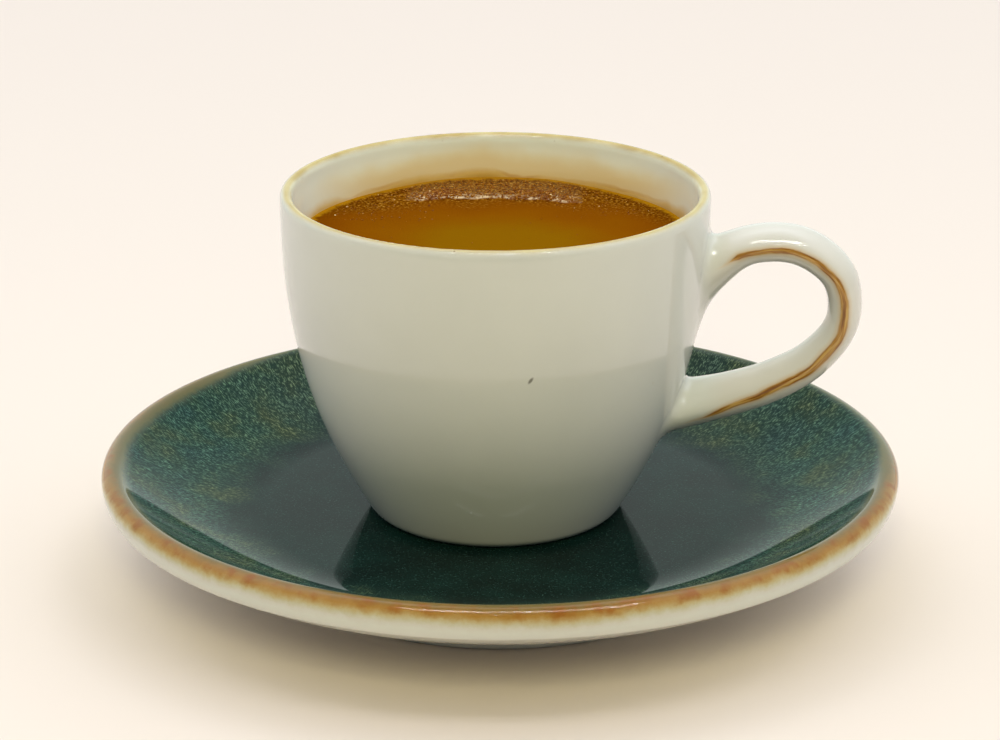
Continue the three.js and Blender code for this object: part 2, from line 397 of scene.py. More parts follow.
def cup_field(points):
    """Distance outside the cup: body and handle joined with a fillet, then hollowed."""
    radius, height = np.hypot(points[:, 0], points[:, 1]), points[:, 2]
    body = -blend_min(-wall_distance(radius, height, cup_radius), height - CUP_STAND, 2 * FOOT_ROUND)
    body = np.maximum(body, height - LIP_HEIGHT)
    body = np.minimum(body, np.hypot(radius - LIP_RADIUS, height - LIP_HEIGHT) - LIP_ROUND)
    recess = np.maximum(radius - CUP_FOOT_INNER, height - CUP_FOOT_RECESS)
    body = np.maximum(body, -recess)
    handle = np.full(len(points), 50.0)
    near = (points[:, 0] > HANDLE_STARTS) & (np.abs(points[:, 1]) < HANDLE_REACH)
    handle[near] = handle_field(points[near])
    cavity = -blend_min(-wall_distance(radius, height, cavity_radius), height - CUP_FLOOR, CAVITY_ROUND)
    return np.maximum(blend_min(body, handle, HANDLE_FILLET), -cavity)


def skin(field, low, high, cell):
    """Quads over the zero surface of a distance field: one point in each grid cell that it crosses."""
    axes = [np.arange(a, b + cell, cell) for a, b in zip(low, high)]
    grid = np.stack(np.meshgrid(*axes, indexing="ij"), -1)
    values = field(grid.reshape(-1, 3)).reshape(grid.shape[:3])
    cells = tuple(n - 1 for n in values.shape)
    total, count = np.zeros(cells + (3,)), np.zeros(cells, int)
    for axis in range(3):
        b, c = (axis + 1) % 3, (axis + 2) % 3
        for off_b in (0, 1):
            for off_c in (0, 1):
                first = [slice(None, -1)] * 3
                first[b] = slice(off_b, off_b + cells[b])
                first[c] = slice(off_c, off_c + cells[c])
                second = list(first)
                second[axis] = slice(1, None)
                start, end = values[tuple(first)], values[tuple(second)]
                crossed = (start < 0) != (end < 0)
                point = np.zeros(cells + (3,))
                point[..., axis] = start / np.where(crossed, start - end, 1)
                point[..., b], point[..., c] = off_b, off_c
                total += point * crossed[..., None]
                count += crossed
    mixed = count > 0
    number = np.full(cells, -1)
    number[mixed] = np.arange(mixed.sum())
    points = np.array(low) + cell * (np.argwhere(mixed) + total[mixed] / count[mixed][:, None])
    faces = []
    for axis in range(3):
        b, c = (axis + 1) % 3, (axis + 2) % 3
        start = np.take(values, range(cells[axis]), axis) < 0
        end = np.take(values, range(1, cells[axis] + 1), axis) < 0
        where = np.argwhere(start != end)
        outward = start[tuple(where.T)]
        corners = []
        for off_b, off_c in ((-1, -1), (0, -1), (0, 0), (-1, 0)):
            corner = where.copy()
            corner[:, b] += off_b
            corner[:, c] += off_c
            corners.append(number[tuple(corner.T)])
        quads = np.stack(corners, 1)
        quads[~outward] = quads[~outward][:, ::-1]
        faces.append(quads)
    return points, np.vstack(faces)


def settle(points, field):
    """Moves points onto the field's zero surface."""
    step = 0.02
    for _ in range(2):
        value = field(points)
        slope = np.stack([
            (field(points + step * unit) - field(points - step * unit)) / (2 * step) for unit in np.eye(3)
        ], 1)
        points = points - slope * (value / np.maximum((slope ** 2).sum(1), 0.05))[:, None]
    return points


def even_out(points, faces):
    """Each point moved halfway to the middle of its neighbours."""
    total, count = np.zeros_like(points), np.zeros(len(points))
    for i in range(4):
        ends = faces[:, [i, (i + 1) % 4]]
        for a, b in (ends.T, ends.T[::-1]):
            np.add.at(total, a, points[b])
            np.add.at(count, a, 1)
    return (points + total / count[:, None]) / 2


def make_cup():
    """The cup in one skin, with notes of what lies inside and where each point is on the handle."""
    low = np.array([-CUP_RADIUS, -CUP_RADIUS, CUP_STAND]) - SKIN_MARGIN
    high = np.array([CUP_HIGH[0] - CUP_AXIS[0], CUP_RADIUS, CUP_HEIGHT]) + SKIN_MARGIN
    points, faces = skin(cup_field, low, high, SKIN_CELL)
    for _ in range(3):
        points = settle(even_out(points, faces), cup_field)
    cup = mesh_piece("porcelain_cup", points + CUP_AXIS, faces, porcelain(), "cup")
    along, offset = strap_place(points)
    _, width = strap_size(along)
    radius, height = np.hypot(points[:, 0], points[:, 1]), points[:, 2]
    mid_wall = (cup_radius(height) + cavity_radius(height)) / 2
    note(cup, "inside", (radius < mid_wall) & (height > CUP_FLOOR - 1))
    note(cup, "strap_along", along)
    note(cup, "strap_offset", np.where(points[:, 0] > STRAP_STARTS, offset, OFF_STRAP))
    note(cup, "strap_side", np.abs(points[:, 1]) / width)
    return cup


def foam_rise(x, y):
    """How far the foam stands above the coffee: a crescent at the back, wavy in front, thin at its ends."""
    wave = sum(size * np.sin(x * rate) for size, rate in FOAM_WAVES)
    from_front = y + wave - FOAM_FRONT + FOAM_CURVE * x ** 2
    full = ease(FOAM_HALF_LENGTH, FOAM_FULL_LENGTH, np.abs(x - FOAM_MIDDLE))
    return FOAM_RISE * ease(*FOAM_SLOPE, from_front) * full


def make_coffee():
    """The coffee: clear of the wall below, just into it at the level, with foam and slight ripples."""
    edge = cavity_radius(COFFEE_LEVEL) + COFFEE_INTO_WALL
    rise = np.linspace(1, 0, 24)
    heights = np.linspace(CUP_FLOOR + 0.5, COFFEE_LEVEL - 1, 16)
    rounding = 12 * (1 - ease(CUP_FLOOR - 10, CUP_FLOOR + 12, heights))
    profile = np.vstack([
        [[radius, CUP_FLOOR + COFFEE_GAP] for radius in (0, 4, 8)],
        np.stack([cavity_radius(heights) - COFFEE_GAP - rounding, heights], 1),
        np.stack([edge - MENISCUS_WIDTH * (1 - rise), COFFEE_LEVEL + MENISCUS_RISE * rise ** 2.5], 1),
        [[radius, COFFEE_LEVEL] for radius in np.linspace(edge - 2.5, 0.5, 80)],
        [[0, COFFEE_LEVEL]],
    ])
    points, faces = turned(profile, 300)
    top = points[:, 2] > COFFEE_LEVEL - 0.01
    points[top, 2] += foam_rise(points[top, 0], points[top, 1])
    ripples = [noise.noise(Vector((x / RIPPLE_LENGTH, y / RIPPLE_LENGTH, 3.0))) for x, y, _ in points[top]]
    points[top, 2] += RIPPLE_RISE * np.array(ripples)
    return mesh_piece("poured_coffee", points + CUP_AXIS, faces, coffee_brew(), "coffee")


def make_bubbles():
    """Small bubbles, each a flattened ball half sunk in the surface."""
    draw = np.random.default_rng(SEED)
    reach = cavity_radius(COFFEE_LEVEL) - 0.3
    places, sizes = [], []
    for patch in BUBBLE_PATCHES:
        x = draw.triangular(patch["x"][0], sum(patch["x"]) / 2, patch["x"][1], patch["count"])
        y = draw.uniform(*patch["y"], patch["count"])
        size = patch["size"][0] + (patch["size"][1] - patch["size"][0]) * draw.random(patch["count"]) ** 2
        kept = np.hypot(x, y) < reach
        if patch["on_foam"]:
            kept &= foam_rise(x, y) > FOAM_RISE * draw.random(patch["count"])
        places.append(np.stack([x, y, COFFEE_LEVEL + foam_rise(x, y)], 1)[kept])
        sizes.append(size[kept])
    places, sizes = np.vstack(places), np.concatenate(sizes)
    ball = np.vstack([[[0, -1]], arc(0, 0, 1, -60, 60, 5), [[0, 1]]])
    points, faces = turned(ball, 10)
    points[:, 2] *= BUBBLE_FLATNESS
    scattered = (points[None] * sizes[:, None, None] + places[:, None]).reshape(-1, 3)
    joined = [tuple(k + i * len(points) for k in face) for i in range(len(sizes)) for face in faces]
    return mesh_piece("coffee_bubbles", scattered + CUP_AXIS, joined, coffee_foam(), None)


# Materials

def add(tree, kind, links=None, out=0, stops=None, **settings):
    """Adds a node with its settings, colour stops, and inputs by value or by the socket that feeds them."""
    made = tree.nodes.new(kind)
    for name, value in settings.items():
        setattr(made, name, value)
    if stops:
        ramp = made.color_ramp.elements
        ramp[0].position, ramp[1].position = stops[0][0], stops[-1][0]
        ramp[0].color, ramp[1].color = linear(stops[0][1]), linear(stops[-1][1])
        for place, code in stops[1:-1]:
            ramp.new(place).color = linear(code)
    for name, value in (links or {}).items():
        if isinstance(value, bpy.types.NodeSocket):
            tree.links.new(value, made.inputs[name])
        else:
            made.inputs[name].default_value = value
    return made.outputs[out]


def finish_named(name, centre):
    """A new material: its node tree, its shader, and the place in millimetres from a centre."""
    material = bpy.data.materials.new(name)
    material.use_nodes = True
    tree = material.node_tree
    place = add(tree, "ShaderNodeTexCoord", out="Object")
    in_mm = add(tree, "ShaderNodeVectorMath", {0: place, "Scale": 1 / MM}, operation="SCALE")
    here = add(tree, "ShaderNodeVectorMath", {0: in_mm, 1: tuple(centre)}, operation="SUBTRACT")
    return material, tree, tree.nodes["Principled BSDF"], here


def around(tree, here):
    """The distance from the axis, the outward direction, and the height."""
    flat = add(tree, "ShaderNodeVectorMath", {0: here, 1: (1, 1, 0)}, operation="MULTIPLY")
    radius = add(tree, "ShaderNodeVectorMath", {0: flat}, out="Value", operation="LENGTH")
    outward = add(tree, "ShaderNodeVectorMath", {0: flat}, operation="NORMALIZE")
    height = add(tree, "ShaderNodeSeparateXYZ", {0: here}, out="Z")
    return radius, outward, height


def by_distance(tree, value, stops):
    """A colour that follows a distance in millimetres through stops of (distance, colour), least first."""
    low, high = stops[0][0], stops[-1][0]
    share = add(tree, "ShaderNodeMapRange", {"Value": value, "From Min": low, "From Max": high})
    return add(tree, "ShaderNodeValToRGB", {"Fac": share}, stops=[
        ((place - low) / (high - low), code) for place, code in stops])


def coffee_film(tree, under, here, inside, outward, height):
    """Dried coffee above the level: a soft tan wash, strongest at the back, with a faint tide line."""
    cloud = add(tree, "ShaderNodeTexNoise", {"Vector": here, "Scale": 1 / FILM_CLOUD, "Detail": 3.0})
    sway = add(tree, "ShaderNodeMapRange", {"Value": cloud, "To Min": -FILM_SWAY, "To Max": FILM_SWAY})
    rise = add(tree, "ShaderNodeMath", {0: height, 1: sway}, operation="ADD")
    tint = by_distance(tree, rise, [
        (COFFEE_LEVEL, "#C49A44"), (COFFEE_LEVEL + 0.8, "#DCBA70"), (COFFEE_LEVEL + 1.5, "#E4CC98"),
        (COFFEE_LEVEL + 4, "#E8D4A0"), (COFFEE_LEVEL + 6, "#EEE5C6")])
    cover = add(tree, "ShaderNodeMapRange", {
        "Value": rise, "From Min": COFFEE_LEVEL + 6.5, "From Max": COFFEE_LEVEL + 2.5},
        interpolation_type="SMOOTHSTEP")
    back = add(tree, "ShaderNodeMapRange", {
        "Value": add(tree, "ShaderNodeSeparateXYZ", {0: outward}, out="Y"),
        "From Min": 0.15, "From Max": 0.85, "To Min": 0.15}, interpolation_type="SMOOTHSTEP")
    above = add(tree, "ShaderNodeMapRange", {
        "Value": height, "From Min": COFFEE_LEVEL - 4, "From Max": COFFEE_LEVEL - 3})
    on_wall = add(tree, "ShaderNodeMath", {0: inside, 1: above}, operation="MULTIPLY")
    wet = add(tree, "ShaderNodeMapRange", {
        "Value": rise, "From Min": COFFEE_LEVEL + 2.6, "From Max": COFFEE_LEVEL + 0.6, "To Max": 0.9})
    stained = add(tree, "ShaderNodeMath", {0: back, 1: wet}, operation="MAXIMUM")
    held = add(tree, "ShaderNodeMath", {0: on_wall, 1: stained}, operation="MULTIPLY")
    amount = add(tree, "ShaderNodeMath", {0: held, 1: cover}, operation="MULTIPLY")
    filmed = add(tree, "ShaderNodeMix", {0: amount, 6: under, 7: tint}, out=2, data_type="RGBA")
    from_tide = add(tree, "ShaderNodeMath", {0: rise, 1: COFFEE_LEVEL + TIDE_HEIGHT}, operation="SUBTRACT")
    off_tide = add(tree, "ShaderNodeMath", {0: from_tide}, operation="ABSOLUTE")
    tide = add(tree, "ShaderNodeMapRange", {"Value": off_tide, "From Min": 0.4, "From Max": 0.1},
               interpolation_type="SMOOTHSTEP")
    broken = add(tree, "ShaderNodeTexNoise", {"Vector": here, "Scale": 1 / TIDE_GAP, "Detail": 3.0})
    seen = add(tree, "ShaderNodeMapRange", {
        "Value": broken, "From Min": 0.4, "From Max": 0.6, "To Max": 0.45})
    line = add(tree, "ShaderNodeMath", {0: tide, 1: seen}, operation="MULTIPLY")
    back_wall = add(tree, "ShaderNodeMath", {0: on_wall, 1: back}, operation="MULTIPLY")
    far_back = add(tree, "ShaderNodeMath", {0: back_wall, 1: 3.0}, operation="POWER")
    lined = add(tree, "ShaderNodeMath", {0: line, 1: far_back}, operation="MULTIPLY")
    return add(tree, "ShaderNodeMix", {0: lined, 6: filmed, 7: linear("#BE8638")}, out=2, data_type="RGBA")


def lip_line(tree, under, here, radius, height):
    """A thin ochre line on the lip, where the glaze ran thin, with a few brown dots."""
    drift = add(tree, "ShaderNodeTexNoise", {"Vector": here, "Scale": 1 / LIP_DRIFT, "Detail": 2.0})
    sway = add(tree, "ShaderNodeMapRange", {"Value": drift, "To Min": -0.25, "To Max": 0.25})
    moved = add(tree, "ShaderNodeMath", {0: radius, 1: sway}, operation="ADD")
    away = add(tree, "ShaderNodeMath", {0: moved, 1: LIP_RADIUS - 0.15}, operation="SUBTRACT")
    off = add(tree, "ShaderNodeMath", {0: away}, operation="ABSOLUTE")
    near = add(tree, "ShaderNodeMapRange", {"Value": off, "From Min": 1.1, "From Max": 0.2},
               interpolation_type="SMOOTHSTEP")
    crest = add(tree, "ShaderNodeMapRange", {
        "Value": height, "From Min": LIP_HEIGHT - 0.1, "From Max": LIP_HEIGHT + 0.5})
    amount = add(tree, "ShaderNodeMath", {0: near, 1: crest}, operation="MULTIPLY")
    tone = add(tree, "ShaderNodeValToRGB", {"Fac": drift}, stops=[(0.35, "#CDB873"), (0.65, "#BA9E4C")])
    banded = add(tree, "ShaderNodeMix", {0: amount, 6: under, 7: tone}, out=2, data_type="RGBA")
    dots = add(tree, "ShaderNodeTexVoronoi", {"Vector": here, "Scale": 1 / LIP_DOT}, out="Distance")
    dot = add(tree, "ShaderNodeMapRange", {"Value": dots, "From Min": 0.1, "From Max": 0.05, "To Max": 0.7})
    dotted = add(tree, "ShaderNodeMath", {0: dot, 1: crest}, operation="MULTIPLY")
    return add(tree, "ShaderNodeMix", {0: dotted, 6: banded, 7: linear("#6E4A22")}, out=2, data_type="RGBA")


def handle_line(tree, under, here, radius):
    """A brown line along both edges of the handle: dark strokes in ochre, tan border, tapered ends."""
    along = add(tree, "ShaderNodeAttribute", out="Fac", attribute_name="strap_along")
    offset = add(tree, "ShaderNodeAttribute", out="Fac", attribute_name="strap_offset")
    side = add(tree, "ShaderNodeAttribute", out="Fac", attribute_name="strap_side")
    drift = add(tree, "ShaderNodeMapRange", {
        "Value": along, "From Min": 0.7, "From Max": 0.95, "To Max": LINE_SHIFT},
        interpolation_type="SMOOTHSTEP")
    uneven = add(tree, "ShaderNodeTexNoise", {"Vector": here, "Scale": 1 / LINE_UNEVEN, "Detail": 3.0})
    sway = add(tree, "ShaderNodeMapRange", {"Value": uneven, "To Min": -LINE_SWAY, "To Max": LINE_SWAY})
    centred = add(tree, "ShaderNodeMath", {0: offset, 1: drift}, operation="SUBTRACT")
    across = add(tree, "ShaderNodeMath", {0: centred, 1: sway}, operation="ADD")
    start = add(tree, "ShaderNodeMapRange", {
        "Value": along, "From Min": LINE_START[0], "From Max": LINE_START[1],
        "To Min": LINE_TAPER, "To Max": 0.0})
    end = add(tree, "ShaderNodeMapRange", {
        "Value": along, "From Min": LINE_END[0], "From Max": LINE_END[1], "To Max": LINE_TAPER})
    from_bend = add(tree, "ShaderNodeMath", {0: along, 1: LINE_BEND}, operation="SUBTRACT")
    off_bend = add(tree, "ShaderNodeMath", {0: from_bend}, operation="ABSOLUTE")
    bend = add(tree, "ShaderNodeMapRange", {
        "Value": off_bend, "From Min": 0.1, "From Max": 0.22, "To Min": -LINE_SWELL, "To Max": 0.0})
    ends = add(tree, "ShaderNodeMath", {0: start, 1: end}, operation="ADD")
    taper = add(tree, "ShaderNodeMath", {0: ends, 1: bend}, operation="ADD")
    off_line = add(tree, "ShaderNodeMath", {0: across}, operation="ABSOLUTE")
    off = add(tree, "ShaderNodeMath", {0: off_line, 1: taper}, operation="ADD")
    placed = add(tree, "ShaderNodeMapRange", {
        "Value": side, "From Min": LINE_EDGE[0], "From Max": LINE_EDGE[1]})
    border = add(tree, "ShaderNodeMapRange", {
        "Value": off, "From Min": LINE_BORDER[0], "From Max": LINE_BORDER[1], "To Max": 0.5},
        interpolation_type="SMOOTHSTEP")
    core = add(tree, "ShaderNodeMapRange", {
        "Value": off, "From Min": LINE_CORE[0], "From Max": LINE_CORE[1]}, interpolation_type="SMOOTHSTEP")
    soft = add(tree, "ShaderNodeMath", {0: placed, 1: border}, operation="MULTIPLY")
    firm = add(tree, "ShaderNodeMath", {0: placed, 1: core}, operation="MULTIPLY")
    stroke = add(tree, "ShaderNodeCombineXYZ", {
        "X": add(tree, "ShaderNodeMath", {0: across, 1: STROKES_ACROSS}, operation="MULTIPLY"),
        "Y": add(tree, "ShaderNodeMath", {0: along, 1: STROKES_ALONG}, operation="MULTIPLY")})
    streaks = add(tree, "ShaderNodeTexNoise", {"Vector": stroke, "Scale": 1.0, "Detail": 3.0})
    tone = add(tree, "ShaderNodeValToRGB", {"Fac": streaks}, stops=[
        (0.36, "#82501A"), (0.48, "#AC7A34"), (0.62, "#CCA45C")])
    # Painted warm light: the handle is tinted warmer than the body, standing in for warmer light on it; the
    # glaze is the same
    on_strap = add(tree, "ShaderNodeMapRange", {
        "Value": radius, "From Min": CUP_RADIUS, "From Max": CUP_RADIUS + 3})
    painted_warm_light = add(tree, "ShaderNodeMix", {
        0: on_strap, 6: under, 7: linear("#DAD6CC")}, out=2, data_type="RGBA")
    bordered = add(tree, "ShaderNodeMix", {0: soft, 6: painted_warm_light, 7: linear("#D0AF7C")}, out=2, data_type="RGBA")
    return add(tree, "ShaderNodeMix", {0: firm, 6: bordered, 7: tone}, out=2, data_type="RGBA")


def dark_fleck(tree, under, here):
    """One small slanting iron fleck fired into the glaze on the front of the cup."""
    inside = add(tree, "ShaderNodeMapping", {
        "Vector": here, "Location": FLECK_PLACE, "Rotation": (0, FLECK_LEAN, 0),
        "Scale": (FLECK_HALF_WIDTH, 3.0, FLECK_HALF_LENGTH)}, vector_type="TEXTURE")
    away = add(tree, "ShaderNodeVectorMath", {0: inside}, out="Value", operation="LENGTH")
    amount = add(tree, "ShaderNodeMapRange", {
        "Value": away, "From Min": 1.3, "From Max": 0.6, "To Max": 0.75})
    return add(tree, "ShaderNodeMix", {0: amount, 6: under, 7: linear("#5A5546")}, out=2, data_type="RGBA")


def porcelain():
    """Glazed porcelain, dipped and fired: warm white under clear gloss, ochre where the glaze ran thin."""
    material, tree, shader, here = finish_named("glazed_porcelain", CUP_AXIS)
    radius, outward, height = around(tree, here)
    cloud = add(tree, "ShaderNodeTexNoise", {"Vector": here, "Scale": 1 / BODY_CLOUD, "Detail": 3.0})
    outside = add(tree, "ShaderNodeValToRGB", {"Fac": cloud}, stops=[(0.3, "#D7D7CE"), (0.7, "#DBDBD2")])
    inside = add(tree, "ShaderNodeAttribute", out="Fac", attribute_name="inside")
    # Painted light: the inside is a lighter white than the outside, standing in for light inside the cup;
    # the glaze itself is the same
    colour = add(tree, "ShaderNodeMix", {
        0: inside, 6: outside, 7: linear("#F3F8EA")}, out=2, data_type="RGBA")
    colour = coffee_film(tree, colour, here, inside, outward, height)
    colour = lip_line(tree, colour, here, radius, height)
    colour = handle_line(tree, colour, here, radius)
    colour = dark_fleck(tree, colour, here)
    tree.links.new(colour, shader.inputs["Base Color"])
    shader.inputs["Roughness"].default_value = 0.06
    shader.inputs["IOR"].default_value = 1.5
    return material


def well_glaze(tree, here):
    """Deep teal glaze where it pooled in the well, with fine pale dots."""
    patches = add(tree, "ShaderNodeTexNoise", {"Vector": here, "Scale": 1 / GLAZE_PATCH, "Detail": 3.0})
    deep = add(tree, "ShaderNodeValToRGB", {"Fac": patches}, stops=[(0.35, "#0A1D19"), (0.65, "#0E2722")])
    dots = add(tree, "ShaderNodeTexNoise", {"Vector": here, "Scale": 1 / WELL_DOT, "Detail": 2.0})
    dot = add(tree, "ShaderNodeMapRange", {
        "Value": dots, "From Min": 0.58, "From Max": 0.74, "To Max": 0.4})
    return add(tree, "ShaderNodeMix", {0: dot, 6: deep, 7: linear("#47685F")}, out=2, data_type="RGBA")


def glaze_runs(tree, under, here, radius, outward):
    """Fine pale streaks where the glaze ran straight down the wall, thinning out towards the well."""
    round_way = add(tree, "ShaderNodeVectorMath", {0: outward, "Scale": STREAK_RADIUS}, operation="SCALE")
    run_down = add(tree, "ShaderNodeMath", {0: radius, 1: STREAK_STRETCH}, operation="MULTIPLY")
    lift = add(tree, "ShaderNodeCombineXYZ", {"Z": run_down})
    place = add(tree, "ShaderNodeVectorMath", {0: round_way, 1: lift}, operation="ADD")
    streaks = add(tree, "ShaderNodeTexNoise", {
        "Vector": place, "Scale": 1 / STREAK_WIDTH, "Detail": 2.0, "Roughness": 0.6})
    patches = add(tree, "ShaderNodeTexNoise", {"Vector": here, "Scale": 1 / GLAZE_PATCH, "Detail": 3.0})
    wander = add(tree, "ShaderNodeMapRange", {"Value": patches, "To Min": -5.0, "To Max": 5.0})
    wall_radius = add(tree, "ShaderNodeMath", {0: radius, 1: wander}, operation="ADD")
    wall = add(tree, "ShaderNodeMapRange", {"Value": wall_radius, "From Min": 36.5, "From Max": 45.5},
               interpolation_type="SMOOTHSTEP")
    ground = add(tree, "ShaderNodeValToRGB", {"Fac": patches}, stops=[
        (0.32, "#0F302E"), (0.5, "#14342C"), (0.68, "#283C28")])
    pale = add(tree, "ShaderNodeValToRGB", {"Fac": patches}, stops=[
        (0.32, "#609284"), (0.5, "#6A967A"), (0.68, "#8A986A")])
    light = add(tree, "ShaderNodeMapRange", {
        "Value": streaks, "From Min": 0.5, "From Max": 0.7, "To Max": 0.88},
        interpolation_type="SMOOTHSTEP")
    back = add(tree, "ShaderNodeMapRange", {
        "Value": add(tree, "ShaderNodeSeparateXYZ", {0: outward}, out="Y"),
        "From Min": 0.3, "From Max": 0.9, "To Max": 0.6})
    ground = add(tree, "ShaderNodeMix", {0: back, 6: ground, 7: linear("#1E2C1A")}, out=2, data_type="RGBA")
    pale = add(tree, "ShaderNodeMix", {0: back, 6: pale, 7: linear("#7E8A5E")}, out=2, data_type="RGBA")
    streaked = add(tree, "ShaderNodeMix", {0: light, 6: ground, 7: pale}, out=2, data_type="RGBA")
    return add(tree, "ShaderNodeMix", {0: wall, 6: under, 7: streaked}, out=2, data_type="RGBA")


def bare_rim(tree, under, here, outward, from_rim):
    """The rim, where the glaze drew thin: teal through olive to mottled ochre, then bare white below."""
    slow = add(tree, "ShaderNodeTexNoise", {"Vector": here, "Scale": 1 / RIM_DRIFT, "Detail": 2.0})
    wander = add(tree, "ShaderNodeMapRange", {"Value": slow, "To Min": -0.9, "To Max": 0.9})
    mottle = add(tree, "ShaderNodeTexNoise", {
        "Vector": here, "Scale": 1 / RIM_MOTTLE, "Detail": 6.0, "Roughness": 0.7})
    ripple = add(tree, "ShaderNodeMapRange", {"Value": mottle, "To Min": -0.7, "To Max": 0.7})
    to_side = add(tree, "ShaderNodeVectorMath", {
        0: outward, 1: RIM_THIN_SIDE}, out="Value", operation="DOT_PRODUCT")
    thinned = add(tree, "ShaderNodeMapRange", {
        "Value": to_side, "From Min": 0.15, "From Max": 0.55, "To Max": 1.9})
    drawn = add(tree, "ShaderNodeMath", {0: from_rim, 1: wander}, operation="ADD")
    rough_edge = add(tree, "ShaderNodeMath", {0: drawn, 1: ripple}, operation="ADD")
    edge = add(tree, "ShaderNodeMath", {0: rough_edge, 1: thinned}, operation="ADD")
    fade = by_distance(tree, edge, [
        (-4.2, "#D4D5CA"), (-3.5, "#CFCCC0"), (-2.9, "#C2BC9F"), (-2.4, "#B9A676"), (-2.0, "#AE8E54"),
        (-1.6, "#A47A38"), (-1.2, "#9A7030"), (-0.4, "#846834"), (0.4, "#6C5C30"), (1.3, "#625E34"),
        (2.3, "#34462E")])
    blotch = add(tree, "ShaderNodeTexNoise", {"Vector": here, "Scale": 1 / RIM_BLOTCH, "Detail": 3.0})
    blotched = add(tree, "ShaderNodeMapRange", {
        "Value": blotch, "From Min": 0.46, "From Max": 0.64, "To Max": 0.7})
    low = add(tree, "ShaderNodeMapRange", {"Value": edge, "From Min": -2.4, "From Max": -1.6})
    high = add(tree, "ShaderNodeMapRange", {"Value": edge, "From Min": 0.3, "From Max": -0.6})
    band = add(tree, "ShaderNodeMath", {0: low, 1: high}, operation="MULTIPLY")
    amount = add(tree, "ShaderNodeMath", {0: band, 1: blotched}, operation="MULTIPLY")
    ochre = add(tree, "ShaderNodeMix", {0: amount, 6: fade, 7: linear("#8E5014")}, out=2, data_type="RGBA")
    shown = add(tree, "ShaderNodeMapRange", {"Value": edge, "From Min": 3.2, "From Max": 1.4},
                interpolation_type="SMOOTHSTEP")
    return add(tree, "ShaderNodeMix", {0: shown, 6: under, 7: ochre}, out=2, data_type="RGBA"), shown


def reactive_glaze():
    """Reactive stoneware glaze, dipped and fired: glossy teal, streaked on the wall, ochre at the rim."""
    material, tree, shader, here = finish_named("reactive_teal_glaze", (0, 0, 0))
    radius, outward, _ = around(tree, here)
    from_rim = add(tree, "ShaderNodeAttribute", out="Fac", attribute_name="from_rim")
    colour = well_glaze(tree, here)
    colour = glaze_runs(tree, colour, here, radius, outward)
    colour, rim = bare_rim(tree, colour, here, outward, from_rim)
    tree.links.new(colour, shader.inputs["Base Color"])
    gloss = add(tree, "ShaderNodeMapRange", {"Value": rim, "To Min": 0.06, "To Max": 0.24})
    tree.links.new(gloss, shader.inputs["Specular IOR Level"])
    shader.inputs["Roughness"].default_value = 0.05
    shader.inputs["IOR"].default_value = 1.5
    return material


